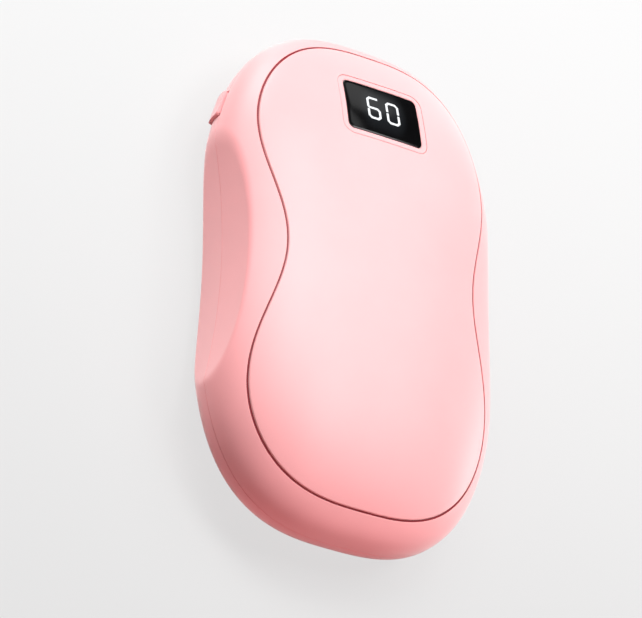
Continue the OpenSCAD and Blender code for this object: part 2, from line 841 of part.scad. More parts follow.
module display_pins() {
    lamps_y = window_y + (lamps_top + lamps_t) * sin(window_tilt);
    color("gold") at_parting()
        for (row = [-1, 1], i = [-2:2]) {
            y = lamps_y + row * pin_rows / 2;
            translate([i * lamps_w / 6, y, board_top])
                cylinder(h = lamps_under(y) - board_top - layer_gap, r = pin_r, $fn = round_fn);
        }
}

// ---- power button and its switch ----

switch_z = board_top + switch_h / 2;
flange_x = -button_seat - flange_gap;
pip_x = flange_x - flange_t - pip_l;
plunger_x = pip_x - pip_gap;
switch_x = plunger_x - plunger_out;

// Round bar from x0 to x1 at the switch's height
module switch_bar(x0, x1, r) {
    translate([x0, 0, switch_z])
        rotate([0, 90, 0]) cylinder(h = x1 - x0, r = r, $fn = round_fn);
}

module power_button() {
    low = -button_h - button_gap;
    high = -button_gap;
    color("pink") at_button() {
        intersection() {
            translate([flange_x - flange_t / 2, -button_l / 2, low])
                cube([button_seat + 2 * cut_over, button_l, high - low]);
            translate([button_proud - button_crown_r, 0, 0])
                rotate([90, 0, 0])
                    cylinder(h = 2 * button_l, r = button_crown_r, center = true, $fn = grip_fn);
        }
        translate([flange_x - flange_t, -button_l / 2 - flange_w, low])
            cube([flange_t, button_l + 2 * flange_w, flange_w - low]);
        switch_bar(pip_x, flange_x, pip_r);
    }
}

module switch_body() {
    color("dimgray") at_button() difference() {
        translate([switch_x - switch_d, -switch_w / 2, board_top])
            cube([switch_d, switch_w, switch_h]);
        switch_bar(switch_x - plunger_in - 2 * button_travel, switch_x + cut_over,
            plunger_r + plunger_gap);
    }
}

module switch_plunger() {
    color("white") at_button() switch_bar(switch_x - plunger_in, plunger_x, plunger_r);
}

// ---- charging port ----

// Solid of a flat shape that runs from y0 towards the foot
module from_port(y0, l) {
    at_parting() translate([0, y0, 0]) rotate([90, 0, 0]) linear_extrude(l) children();
}

module port_shell() {
    color("silver") difference() {
        from_port(port_y, port_l) stadium(port_w, port_h);
        from_port(port_y + cut_over, port_l + 2 * cut_over)
            stadium(port_w - 2 * port_t, port_h - 2 * port_t);
    }
}

module port_tongue() {
    side = port_t + tongue_gap;
    color("black") {
        from_port(port_y - port_l + tongue_root, tongue_root)
            stadium(port_w - 2 * side, port_h - 2 * side);
        from_port(port_y - tongue_back, port_l - tongue_back - tongue_root / 2)
            square([tongue_w, tongue_t], center = true);
    }
}

// ---- main board ----

module board_outline() {
    outline = [for (i = [0:around - 1]) plan_point(i * turn, 0, board_share)];
    difference() {
        intersection() {
            polygon(outline);
            translate([-half_w, board_y]) square([body_w, half_l]);
        }
        translate([-button_x, button_y])
            rotate(180 - button_tilt)
                translate([switch_x + plunger_out / 2, -half_w / 2]) square(half_w);
    }
    translate([-board_tab, half_l / 2]) square([2 * board_tab, end_wall_y - half_l / 2]);
}

module main_board() {
    color("seagreen") at_parting() difference() {
        translate([0, 0, board_low]) linear_extrude(board_t) board_outline();
        for (place = board_screw_places())
            translate([place.x, place.y, board_low - cut_over])
                cylinder(h = board_t + 2 * cut_over, r = board_screw_r + screw_gap / 2,
                    $fn = round_fn);
    }
}

// Box that stands on the board with its middle at x, y
module board_box(x, y, size) {
    at_parting() translate([x - size.x / 2, y - size.y / 2, board_top]) cube(size);
}

module controller_chip() {
    color("black")
        board_box(-(lamps_w + controller_w) / 2 - layer_gap, board_y + board_screws_y,
            [controller_w, controller_w, controller_h]);
}

module charging_chip() {
    color("black")
        board_box(-board_screws_w / 2 + charger_w, window_y + charger_w / 2,
            [charger_w, charger_w, charger_h]);
}

module power_inductor() {
    color("dimgray")
        board_box(board_screws_w / 2 - inductor_w / 2, window_y,
            [inductor_w, inductor_w, inductor_h]);
}

module capacitors() {
    color("tan") for (i = [-2:2])
        board_box(i * capacitor_pitch, window_y - pin_rows / 4,
            [capacitor_w, capacitor_l, capacitor_w]);
}

// ---- battery ----

// Box with rounded upright edges, centred over place
module pad_box(place, w, l, r, z0, h) {
    at_parting() translate([place.x, place.y, z0]) linear_extrude(h) polygon(rounded(w, l, r));
}

cell_place = [0, cell_y];
terminal_y = cell_y + cell_l / 2 + terminal_l / 2;

module battery_cell() {
    color("lightsteelblue") {
        pad_box(cell_place, cell_w, cell_l, cell_r, -cell_low, cell_top + cell_low);
        at_parting() translate([-terminal_w / 2, terminal_y - terminal_l, -cell_low])
            cube([terminal_w, 1.5 * terminal_l, terminal_h]);
    }
}

module battery_guard_board() {
    side = guard_inset + seat_gap;
    color("seagreen") at_parting()
        translate([-terminal_w / 2 + side, terminal_y - terminal_l / 2 + side,
            -cell_low + terminal_h])
            cube([terminal_w - 2 * side, terminal_l - 2 * side, guard_t]);
}

module battery_tray() {
    room_l = cell_l + terminal_l + 2 * tray_gap;
    room_w = cell_w + 2 * tray_gap;
    place = [0, cell_y + terminal_l / 2];
    color("whitesmoke") difference() {
        pad_box(place, room_w + 2 * tray_t, room_l + 2 * tray_t, cell_r + tray_t, tray_floor,
            tray_t + tray_h);
        pad_box(place, room_w, room_l, cell_r, tray_floor + tray_t, tray_h + cut_over);
    }
}

module foam_pad() {
    corner = [pad_w / 2, cell_y - pad_l / 2];
    pad_low = cell_top + seat_gap;
    pad_top = height(corner, FRONT) - deck_drop - layer_gap;
    color("gray") pad_box(cell_place, pad_w, pad_l, cell_r, pad_low, pad_top - pad_low);
}

// ---- leads ----

guard_top = -cell_low + terminal_h + guard_t;
tray_top = tray_floor + tray_t + tray_h;
lead_end_y = board_y + lead_landing;
heater_end_y = board_y + heater_landing;
sensor_x = pad_w / 2 + bead_r + sensor_gap;
joint_top = board_top + seat_gap;

// Points between two places, at shares of the way in x, y and z
function between(from, to, shares) =
    [for (s = shares) [for (i = [0:2]) from[i] + (to[i] - from[i]) * s[i]]];

// Lead from the protection board over the tray's wall to the main board
module battery_lead(x) {
    start = [x, terminal_y, guard_top + seat_gap];
    over = [x, tray_end + power_lead_r / 3, tray_top + 2 * power_lead_r];
    lift = between(start, over, [[0, 0, 0], [0, 0, 0.3], [0, 0.06, 0.65], [0, 0.35, 1.2]]);
    fall = between(over, [x, lead_end_y, joint_top],
        [[0, 0, 0], [0, 0.24, 0.27], [0, 0.71, 0.51], [0, 0.92, 0.67], [0, 1, 0.84], [0, 1, 1]]);
    at_parting() tube(concat(lift, fall), power_lead_r);
}

module battery_lead_red() {
    color("red") battery_lead(power_leads_w / 2);
}

module battery_lead_black() {
    color("black") battery_lead(-power_leads_w / 2);
}

// Pair of leads from a heater to the main board
module heater_leads(x, y, z, end_z, shares) {
    color("orange") at_parting() for (s = [-1, 1]) {
        lead_x = x + s * heater_leads_w / 2;
        tube(between([lead_x, y, z], [lead_x, heater_end_y, end_z], shares), heater_lead_r);
    }
}

module front_heater_leads() {
    y = half_l - front_hole_end;
    top = height([heater_leads_x, y], FRONT) - film_low - layer_gap;
    heater_leads(heater_leads_x, y, top, joint_top, [[0, 0, 0], [0, 0, 0.21], [0, 0.1, 0.39],
        [0, 0.38, 0.57], [0, 0.8, 0.75], [0, 1, 0.94], [0, 1, 1]]);
}

module back_heater_leads() {
    y = half_l - back_hole_end;
    low = film_low + layer_gap - height([heater_leads_x, y], BACK);
    heater_leads(-heater_leads_x, y, low, board_low - seat_gap, [[0, 0, 0], [0, 0, 0.29],
        [0, 0.06, 0.51], [0, 0.25, 0.66], [0, 0.81, 0.7], [0, 0.96, 0.78], [0, 1, 0.88],
        [0, 1, 1]]);
}

// Bead beside the battery cell, with its leads in one sleeve
module temperature_sensor() {
    bead_z = cell_top + seat_gap + bead_r;
    bead = [sensor_x, cell_y, bead_z];
    edge = [sensor_x, cell_y + cell_l / 2, bead_z];
    joint = [board_screws_w / 2 - sensor_landing, lead_end_y, joint_top];
    along = between(bead, edge, [[0, 0, 0], [0, 0.36, 0], [0, 0.73, 0]]);
    down = between(edge, joint, [[0, 0, 0], [0.1, 0.19, 0.17], [0.3, 0.38, 0.43],
        [0.6, 0.69, 0.65], [0.9, 0.88, 0.76], [1, 0.98, 0.84], [1, 1, 0.92], [1, 1, 1]]);
    color("darkslategray") at_parting() {
        translate(bead) sphere(r = bead_r, $fn = round_fn);
        tube(concat(along, down), sensor_lead_r);
    }
}

// ---- screws ----

// Screw with its head below and its shank upwards
module screw(shank_r, shank_l, r, h) {
    translate([0, 0, -h]) cylinder(h = h, r = r, $fn = round_fn);
    translate([0, 0, -h / 2]) cylinder(h = shank_l + h / 2, r = shank_r, $fn = round_fn);
}

module case_screws() {
    color("silver") at_parting()
        for (place = case_screw_places())
            translate([place.x, place.y, -screw_seat - seat_gap / 2])
                screw(screw_r, screw_l, head_r, head_h);
}

module board_screws() {
    color("silver") at_parting()
        for (place = board_screw_places())
            translate([place.x, place.y, board_top + seat_gap / 2])
                mirror([0, 0, 1])
                    screw(board_screw_r, board_screw_l, board_head_r, board_head_h);
}

front_shell();
back_shell();
front_panel();
back_panel();
display_bezel();
display_window();
display_digits();
display_lamps();
display_pins();
front_heat_plate();
back_heat_plate();
front_heater_film();
back_heater_film();
power_button();
switch_body();
switch_plunger();
port_shell();
port_tongue();
main_board();
controller_chip();
charging_chip();
power_inductor();
capacitors();
battery_cell();
battery_guard_board();
battery_tray();
foam_pad();
battery_lead_red();
battery_lead_black();
front_heater_leads();
back_heater_leads();
temperature_sensor();
case_screws();
board_screws();
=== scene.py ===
import json
import math

import bmesh
import bpy
import numpy as np
from mathutils import Matrix, Vector


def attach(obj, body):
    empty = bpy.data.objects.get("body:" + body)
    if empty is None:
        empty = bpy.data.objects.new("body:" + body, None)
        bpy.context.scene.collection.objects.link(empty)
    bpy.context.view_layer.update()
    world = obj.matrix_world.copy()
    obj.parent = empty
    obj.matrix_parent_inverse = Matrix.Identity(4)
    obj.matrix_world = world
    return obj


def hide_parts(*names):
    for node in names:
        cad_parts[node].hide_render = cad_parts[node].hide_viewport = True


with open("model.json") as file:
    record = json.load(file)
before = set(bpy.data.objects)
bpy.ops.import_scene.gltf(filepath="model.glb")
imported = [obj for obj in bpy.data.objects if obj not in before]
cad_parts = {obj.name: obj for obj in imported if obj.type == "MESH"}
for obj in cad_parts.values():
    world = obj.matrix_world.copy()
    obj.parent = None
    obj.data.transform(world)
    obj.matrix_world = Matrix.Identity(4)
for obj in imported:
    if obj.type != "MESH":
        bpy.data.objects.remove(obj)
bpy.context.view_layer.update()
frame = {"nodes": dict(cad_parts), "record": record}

# Lengths are in millimetres. Until a mesh is made, heights are measured from the parting plane.
MM = 0.001
FRONT, BACK = 1, -1

# The body: n is how square a curve is, from 2 for an ellipse
half_l = 54.0
half_w = 33.0
parting_h = 11.4
rest_cut = 0.3
front_rise = 16.6
back_rise = parting_h + rest_cut
plan_n, front_n, back_n = 2.88, 2.21, 2.74
foot_flare = 0.035
wall_t = 2.0

# The grips: hollows of a large radius in both flanks
grip_r = 125.0
grip_depth = 4.4
grip_y = 1.5
grip_slope = math.tan(math.radians(2.1))
grip_x0 = half_w - grip_depth + grip_r
grip_tips = (-30.0, 36.0)
grip_crisp, grip_soft = 0.35, 0.6
grip_soft_l, grip_crisp_l = 45.0, 14.0
grip_inner_soft = 0.2

# The panels, their recesses and the seams
panel_a, panel_b = 30.15, 49.55
panel_n = 2.9
panel_y = 0.3
panel_t = 1.6
waist_cut, waist_l, waist_y = 8.4, 14.4, 0.4
seam_gap = 0.4
ledge_w = 4.0
seat_drop = 1.9
pocket_drop = 3.2
deck_t = 1.2

# The display
window_y = 34.8
window_w, window_h, window_r = 17.4, 11.9, 1.2
window_t = 1.1
bezel_w = 1.2
bezel_lip = 0.8
hairline = 0.12
glass_drop = 0.06
digit_w, digit_h = 3.1, 5.4
digit_pitch, digit_rise = 4.5, 0.45
stroke_w = 0.5

# The button, whose own X points out of the flank, and the port
button_place = (-28.967, 34.15, 0)
button_turn = math.radians(180 - 18.19)
button_l, button_h = 6.2, 4.6
button_proud = 0.65
button_gap = 0.25
button_seat = 2.5
button_crown_r = 13.0
button_corner_r = 0.75
notch_corner_r = 0.9
port_w, port_h = 8.94, 3.26
port_gap = 0.25

# The points round a ring, and the least angle between faces that stays a sharp edge
around = 600
angles = np.arange(around) * 2 * math.pi / around
sharp_angle = math.radians(35)


# ---- the body's shape ----

def unit_dir(t, n):
    """Directions t as points of a unit superellipse."""
    c, s = np.cos(t), np.sin(t)
    size = (np.abs(c) ** n + np.abs(s) ** n) ** (1 / n)
    return c / size, s / size


def flare(y):
    """How much wider the body is at y than at its middle."""
    return 1 - foot_flare * y / half_l


def plan_line(t, inset=0.0, share=1.0):
    """The body's outline, moved in by inset and scaled by share."""
    dx, dy = unit_dir(t, plan_n)
    y = (half_l - inset) * dy * share
    return (half_w - inset) * dx * share * flare(y), y


def panel_line(t, inset):
    """A panel's outline, moved in by inset."""
    dx, dy = unit_dir(t, panel_n)
    y = panel_y + (panel_b - inset) * dy
    waist = waist_cut * np.exp(-((y - waist_y) / waist_l) ** 2 / 2)
    return (panel_a - inset - waist) * dx * flare(y), y


def plan_share(x, y, inset=0.0):
    """0 in the middle and 1 on the outline, or on the outline moved in by inset."""
    across = np.abs(x) / ((half_w - inset) * flare(y))
    along = np.abs(y) / (half_l - inset)
    return (across ** plan_n + along ** plan_n) ** (1 / plan_n)


def crown(share, rise, n):
    """Height of a crowned face of a given rise, at a share of the way to its outline."""
    return rise * np.maximum(0, 1 - share ** n) ** (1 / n)


def height(x, y, side, inset=0.0):
    """Height of the outer surface over x, y, or of the surface inset inside it."""
    rise, n = (front_rise, front_n) if side == FRONT else (back_rise, back_n)
    return crown(plan_share(x, y, inset), rise - inset, n)


def grip_x(y, z):
    """Distance of a grip's surface from the middle."""
    return grip_x0 - np.sqrt((grip_r + grip_slope * np.abs(z)) ** 2 - (y - grip_y) ** 2)


def soft_min(a, b, width):
    """The smaller of a and b, rounded off where they cross."""
    h = np.clip(0.5 + 0.5 * (b - a) / width, 0, 1)
    return b + (a - b) * h - width * h * (1 - h)


def grip_edge(y):
    """How softly a grip's edge is rounded: soft above its middle, crisp at its tips."""
    low, high = grip_tips
    from_foot = np.clip((y - low) / grip_soft_l, 0, 1)
    from_top = np.clip((high - y) / grip_crisp_l, 0.1, 1)
    return grip_crisp + grip_soft * from_foot * from_top


def in_grips(x, y, z, wall=0.0):
    """x drawn in to where the grips, and a wall's thickness, leave it."""
    limit = grip_x(y, z) - wall
    soft = grip_edge(y) if wall == 0 else grip_inner_soft
    return np.sign(x) * soft_min(np.abs(x), limit, soft)


# ---- meshes ----

def ring(x, y, z):
    """Points round a ring, where z may be one height for all."""
    return np.stack([x, y, np.broadcast_to(z, x.shape)], 1)


def laid(line, side, drop):
    """A ring laid at a depth below the outer surface."""
    x, y = line
    return ring(x, y, height(x, y, side) - drop)


def shrunk(line, centre, share):
    """An outline drawn in towards a centre."""
    x, y = line
    return centre[0] + (x - centre[0]) * share, centre[1] + (y - centre[1]) * share


def lofted(rings, start, end):
    """Points and faces of a closed skin through rings, with a point at each end."""
    m, n = len(rings), len(rings[0])
    points = np.concatenate([[start], *rings, [end]])
    i = np.arange(n)
    j = (i + 1) % n
    faces = [(0, 1 + a, 1 + b) for a, b in zip(i, j)]
    for k in range(m - 1):
        low, high = 1 + k * n, 1 + (k + 1) * n
        faces += zip(low + i, high + i, high + j, low + j)
    top = 1 + (m - 1) * n
    faces += [(top + a, m * n + 1, top + b) for a, b in zip(i, j)]
    return points, faces


def tube_like(rings):
    """Points and faces of a closed skin whose last ring meets its first."""
    m, n = len(rings), len(rings[0])
    i = np.arange(n)
    j = (i + 1) % n
    faces = []
    for k in range(m):
        low, high = k * n, (k + 1) % m * n
        faces += zip(low + i, high + i, high + j, low + j)
    return np.concatenate(rings), faces


def new_piece(name, skin, side=FRONT):
    """A smooth-shaded piece from points and faces measured from the parting plane."""
    points, faces = skin
    placed = np.array(points, float)
    placed[:, 2] = parting_h + side * placed[:, 2]
    mesh = bpy.data.meshes.new(name)
    mesh.from_pydata((placed * MM).tolist(), [], [tuple(map(int, f)) for f in faces])
    work = bmesh.new()
    work.from_mesh(mesh)
    bmesh.ops.recalc_face_normals(work, faces=work.faces)
    work.to_mesh(mesh)
    work.free()
    piece = bpy.data.objects.new(name, mesh)
    bpy.context.scene.collection.objects.link(piece)
    shade(piece)
    return piece


def shade(piece):
    """Smooth shading that keeps the hard edges sharp."""
    mesh = piece.data
    mesh.shade_smooth()
    mesh.set_sharp_from_angle(angle=sharp_angle)


def cut_away(piece, *tools):
    """Cuts tools out of piece and deletes them."""
    for tool in tools:
        step = piece.modifiers.new("cut", "BOOLEAN")
        step.operation = "DIFFERENCE"
        step.solver = "EXACT"
        step.object = tool
    bpy.context.view_layer.update()
    graph = bpy.context.evaluated_depsgraph_get()
    mesh = bpy.data.meshes.new_from_object(piece.evaluated_get(graph))
    piece.modifiers.clear()
    piece.data = mesh
    shade(piece)
    for tool in tools:
        bpy.data.objects.remove(tool)


def on_button_axis(points):
    """Points from the button's own frame, turned and moved to its place on the flank."""
    c, s = math.cos(button_turn), math.sin(button_turn)
    x, y, z = np.asarray(points, float).T
    px, py, pz = button_place
    return np.stack([px + c * x - s * y, py + s * x + c * y, pz + z], 1)


def rounding(k, steps):
    """Step k's share of the way out, with the last steps closest together."""
    return math.sin(math.pi / 2 * k / steps)


def fillet(r, steps=4):
    """Insets and drops along a rounded edge of radius r, from its top to its side."""
    a = np.linspace(0, math.pi / 2, steps + 1)
    return list(zip(r - r * np.sin(a), r - r * np.cos(a)))


def rounded(w, h, r, corner=12, along=24):
    """A rounded rectangle's outline, with points along its sides and round its corners."""
    t = np.linspace(0, math.pi / 2, corner)
    share = np.arange(1, along + 1) / (along + 1)
    xs, ys = [], []
    quarters = ((1, 1, -1, 0), (-1, 1, 0, -1), (-1, -1, 1, 0), (1, -1, 0, 1))
    for quarter, (sx, sy, away_x, away_y) in enumerate(quarters):
        x = sx * (w / 2 - r) + r * np.cos(t + quarter * math.pi / 2)
        y = sy * (h / 2 - r) + r * np.sin(t + quarter * math.pi / 2)
        reach = (w, h)[quarter % 2] - 2 * r
        xs += [x, x[-1] + away_x * reach * share]
        ys += [y, y[-1] + away_y * reach * share]
    return np.concatenate(xs), np.concatenate(ys)


def window_line(grow):
    """The window's outline, grown by grow, around its own middle."""
    x, y = rounded(window_w + 2 * grow, window_h + 2 * grow, window_r + grow)
    return x, y + window_y


# ---- the cutting tools, and how far they reach ----

barely = 0.001
port_cut = (half_l - 7, half_l + 1)
button_cut = (-button_seat - 6, 4.0)
window_cut = (5, 25)


def port_tool(name):
    """Cuts the port's opening through the end wall."""
    w, h = port_w + 2 * port_gap, port_h + 2 * port_gap
    x, z = rounded(w, h, h / 2 - barely)
    rings = [np.stack([x, np.full_like(x, y), z], 1) for y in port_cut]
    return new_piece(name, lofted(rings, *((0, y, 0) for y in port_cut)))


def button_tool(name):
    """Cuts the button's notch, open at the parting line."""
    y, z = rounded(button_l + 2 * button_gap, 2 * button_h + 4 * button_gap, notch_corner_r)
    rings = [np.stack([np.full_like(y, x), y, z], 1) for x in button_cut]
    points, faces = lofted(rings, *((x, 0, 0) for x in button_cut))
    return new_piece(name, (on_button_axis(points), faces))


def window_tool(name, grow):
    """Cuts the opening for the display."""
    x, y = window_line(grow)
    rings = [np.stack([x, y, np.full_like(x, z)], 1) for z in window_cut]
    return new_piece(name, lofted(rings, *((0, window_y, z) for z in window_cut)))


# ---- the two shells ----

rim_round = 0.08
seam_round = 0.1
cavity_steps = 9
flank_steps = 64
deck_steps = 12
sample_steps = 500
rim_crowding = 2.2


def flank_rings(side):
    """Rings of the outer surface from the rim to the seam, evenly spaced along the surface."""
    rim_x, rim_y = plan_line(angles)
    seam_x, seam_y = panel_line(angles, -seam_gap / 2 - seam_round)
    share = np.linspace(0, 1, sample_steps)[:, None] ** rim_crowding
    x = rim_x + (seam_x - rim_x) * share
    y = rim_y + (seam_y - rim_y) * share
    z = height(x, y, side)
    z[0] = 0
    x = in_grips(x, y, z)
    step = np.sqrt(np.diff(x, axis=0) ** 2 + np.diff(y, axis=0) ** 2 + np.diff(z, axis=0) ** 2)
    run = np.concatenate([np.zeros((1, around)), np.cumsum(step, 0)])
    rings = []
    for k in range(flank_steps + 1):
        place = np.empty((around, 3))
        for i in range(around):
            at = rim_round + (run[-1, i] - rim_round) * k / flank_steps
            for axis, values in enumerate((x, y, z)):
                place[i, axis] = np.interp(at, run[:, i], values[:, i])
        rings.append(place)
    return rings


def shell_piece(name, side):
    """One shell: the inner surface, the rim, the outside and the recess for its panel."""
    cavity = []
    for k in range(1, cavity_steps + 1):
        x, y = plan_line(angles, wall_t, rounding(k, cavity_steps))
        under_deck = height(x, y, side) - pocket_drop - deck_t
        z = np.minimum(height(x, y, side, wall_t), np.maximum(0, under_deck))
        cavity.append(ring(in_grips(x, y, z, wall_t), y, z))
    flank = flank_rings(side)
    x, y = plan_line(angles, rim_round)
    zero = np.zeros(around)
    rim = ring(in_grips(x, y, zero, rim_round), y, zero)
    edge = -seam_gap / 2
    lip = [laid(panel_line(angles, edge - a), side, b) for a, b in fillet(seam_round)[1:]]
    seat = [laid(panel_line(angles, inset), side, seat_drop)
        for inset in (edge, ledge_w / 2, ledge_w)]
    pocket = panel_line(angles, ledge_w)
    deck = [laid(shrunk(pocket, (0, 0), rounding(k, deck_steps)), side, pocket_drop)
        for k in range(deck_steps, 0, -1)]
    rings = cavity + [rim] + flank + lip + seat + deck
    floor_z = float(height(0.0, 0.0, side)) - pocket_drop
    return new_piece(name, lofted(rings, (0, 0, floor_z - deck_t), (0, 0, floor_z)), side)


front_shell = shell_piece("front_shell_skin", FRONT)
cut_away(front_shell, port_tool("port_cut_front"), window_tool("window_cut_shell", -bezel_lip))
back_shell = shell_piece("back_shell_skin", BACK)
cut_away(back_shell, port_tool("port_cut_back"), button_tool("button_cut"))
for piece, node in ((front_shell, "front_shell"), (back_shell, "back_shell")):
    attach(piece, "housing")
    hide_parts(node)


# ---- the two panels ----

panel_round = 0.12
top_steps = 56
under_steps = 10
rest_top = back_rise - rest_cut
rest_soft = 0.1


def panel_piece(name, side):
    """One panel: its crowned top, its rounded edge and its underside."""
    def placed(line, drop):
        x, y = line
        z = height(x, y, side)
        if side == BACK:
            z = soft_min(z, rest_top, rest_soft)
        return ring(x, y, z - drop)

    edge = seam_gap / 2
    top = panel_line(angles, edge + panel_round)
    rings = [placed(shrunk(top, (0, 0), rounding(k, top_steps)), 0)
        for k in range(1, top_steps + 1)]
    rings += [placed(panel_line(angles, edge + a), b) for a, b in fillet(panel_round)[1:]]
    low = panel_line(angles, edge)
    rings += [laid(shrunk(low, (0, 0), rounding(k, under_steps)), side, panel_t)
        for k in range(under_steps, 0, -1)]
    peak, under = (front_rise, front_rise) if side == FRONT else (rest_top, back_rise)
    return new_piece(name, lofted(rings, (0, 0, peak), (0, 0, under - panel_t)), side)


front_panel = panel_piece("front_panel_skin", FRONT)
cut_away(front_panel, window_tool("window_cut", bezel_w + hairline))
back_panel = panel_piece("back_panel_skin", BACK)
for piece, node in ((front_panel, "front_panel"), (back_panel, "back_panel")):
    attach(piece, "housing")
    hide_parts(node)


# ---- the painted shade in the seams: dark strips standing in for each seam's shadow ----

seam_shade_top, seam_shade_low = 0.32, 1.7
seam_shade_clear = 0.02


def seam_shade_piece(name, side):
    """A dark strip deep in a panel's seam: painted shade that stands in for the shadow in the
    seam's gap.
    """
    half = seam_gap / 2 - seam_shade_clear
    corners = ((-half, seam_shade_low), (-half, seam_shade_top), (half, seam_shade_top), (half, seam_shade_low))
    rings = [laid(panel_line(angles, inset), side, drop) for inset, drop in corners]
    return new_piece(name, tube_like(rings), side)


# Painted shade: one dark strip in each panel's seam, where there is only the gap's shadow
seam_shades = seam_shade_piece("front_seam_shade", FRONT), seam_shade_piece("back_seam_shade", BACK)
for piece in seam_shades:
    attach(piece, "housing")


# ---- the display ----

bezel_low, bezel_mid = 2.9, 1.5
bezel_round, bezel_inner_round = 0.14, 0.3
glass_round = 0.06
glass_steps = 10


def bezel_piece():
    """The frame round the window, with two rounded edges and a lip under the glass."""
    lip = window_t + hairline
    rings = [laid(window_line(bezel_w), FRONT, d) for d in (bezel_low, bezel_mid)]
    rings += [laid(window_line(bezel_w - a), FRONT, b) for a, b in reversed(fillet(bezel_round))]
    rings += [laid(window_line(a), FRONT, b) for a, b in fillet(bezel_inner_round)]
    rings += [laid(window_line(0), FRONT, lip)]
    rings += [laid(window_line(-bezel_lip), FRONT, d) for d in (lip, bezel_low)]
    return new_piece("display_bezel_frame", tube_like(rings))


def glass_piece():
    """The dark window, crowned like the panel, with a fine rounded edge."""
    grow = -hairline
    top = window_line(grow - glass_round)
    rings = [laid(shrunk(top, (0, window_y), k / glass_steps), FRONT, glass_drop)
        for k in range(1, glass_steps + 1)]
    rings += [laid(window_line(grow - a), FRONT, glass_drop + b)
        for a, b in fillet(glass_round)[1:]]
    low = window_line(grow)
    rings += [laid(shrunk(low, (0, window_y), k / 3), FRONT, window_t) for k in (3, 2, 1)]
    middle = float(height(0.0, window_y, FRONT))
    start, end = (0, window_y, middle - glass_drop), (0, window_y, middle - window_t)
    return new_piece("display_window_glass", lofted(rings, start, end))


stroke_x = (digit_w - stroke_w) / 2
stroke_y = (digit_h - stroke_w) / 2
stroke_top, stroke_low = 0.03, 0.5
corner_cut = 0.5
# Half of the break between two strokes, and how far the 6's ends stay short
break_half = 0.17
six_tip, six_foot = 0.2, 0.408


def stroke_routes():
    """Middle lines of the lit strokes of 6 and of 0, around each digit's middle."""
    x, y, c, g = stroke_x, stroke_y, corner_cut, break_half
    six = [(x - six_tip, y), (c - x, y), (-x, y - c), (-x, c / 2), (c / 2 - x, 0), (x - c, 0),
        (x, -c), (x, c - y), (x - c, -y), (c - x, -y), (-x, c - y), (-x, -six_foot)]
    upper = [(-x, g), (-x, y - c), (c - x, y), (x - c, y), (x, y - c), (x, g)]
    lower = [(px, -py) for px, py in upper]
    return [(0, six), (1, upper), (1, lower)]


def stroke_skin(route, middle):
    """A flat lit bar along a route, its top just proud of the glass."""
    route = np.array(route, float)
    ahead = np.diff(route, axis=0)
    ahead /= np.linalg.norm(ahead, axis=1)[:, None]
    side = np.stack([-ahead[:, 1], ahead[:, 0]], 1)
    mitre = np.concatenate([side[:1], (side[1:] + side[:-1]) / 2, side[-1:]])
    mitre /= (mitre ** 2).sum(1)[:, None]
    left, right = route + mitre * stroke_w / 2, route - mitre * stroke_w / 2
    drop = np.array([stroke_top, stroke_top, stroke_low, stroke_low])
    rings = []
    for a, b in zip(left, right):
        corners = np.array([a, b, b, a]) + middle
        z = height(corners[:, 0], corners[:, 1], FRONT) - drop
        rings.append(np.column_stack([corners, z]))
    return lofted(rings, rings[0].mean(0), rings[-1].mean(0))


def digits_piece():
    """The lit strokes of both digits, as one piece."""
    points, faces = [], []
    for place, route in stroke_routes():
        middle = np.array([(place - 0.5) * digit_pitch, window_y + digit_rise])
        p, f = stroke_skin(route, middle)
        faces += [tuple(v + len(points) for v in face) for face in f]
        points += list(p)
    return new_piece("display_lit_digits", (points, faces))


bezel, glass, digits = bezel_piece(), glass_piece(), digits_piece()
for piece, node, slot in ((bezel, "display_bezel", "pink_panel"),
        (glass, "display_window", "window"), (digits, "display_digits", "lit_digits")):
    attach(piece, "housing")
    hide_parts(node)


# ---- the power button ----

button_round = 0.14
button_round_steps = 6
flange_corner_r = 0.5
flange_x, flange_t, flange_w = -2.6, 0.9, 1.1
pip_x, pip_r, pip_z = -4.5, 0.9, -0.8


def button_piece():
    """The cap with its rounded edges, and the flange and pip behind it."""
    middle = (-button_h - 2 * button_gap) / 2

    def cap_ring(inset, drop, share=1.0):
        corner_r = button_corner_r - inset / 2
        y, z = rounded(button_l - 2 * inset, button_h - 2 * inset, corner_r)
        y, z = y * share, z * share + middle
        x = button_proud - button_crown_r + np.sqrt(button_crown_r ** 2 - z ** 2) - drop
        return np.stack([x, y, z], 1)

    def flat_ring(x, w, h, r, z0):
        y, z = rounded(w, h, r)
        return np.stack([np.full_like(y, x), y, z + z0], 1)

    flange_h = flange_w + button_h + button_gap
    flange = (button_l + 2 * flange_w, flange_h, flange_corner_r, flange_w - flange_h / 2)
    back = flange_x - flange_t
    pip = (2 * pip_r, 2 * pip_r, pip_r - barely, pip_z)
    rings = [flat_ring(x, *pip) for x in (pip_x, back)]
    rings += [flat_ring(x, *flange) for x in (back, flange_x)]
    rings += [flat_ring(flange_x, button_l, button_h, button_corner_r, middle)]
    rings += [cap_ring(a, b) for a, b in reversed(fillet(button_round, button_round_steps))]
    rings += [cap_ring(button_round, 0, share) for share in (0.75, 0.5, 0.25)]
    tip = button_proud - button_crown_r + math.sqrt(button_crown_r ** 2 - middle ** 2)
    points, faces = lofted(rings, (pip_x, 0, pip_z), (tip, 0, middle))
    return new_piece("power_button_cap", (on_button_axis(points), faces))


button = button_piece()
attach(button, "button")
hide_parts("power_button")


# ---- finishes ----

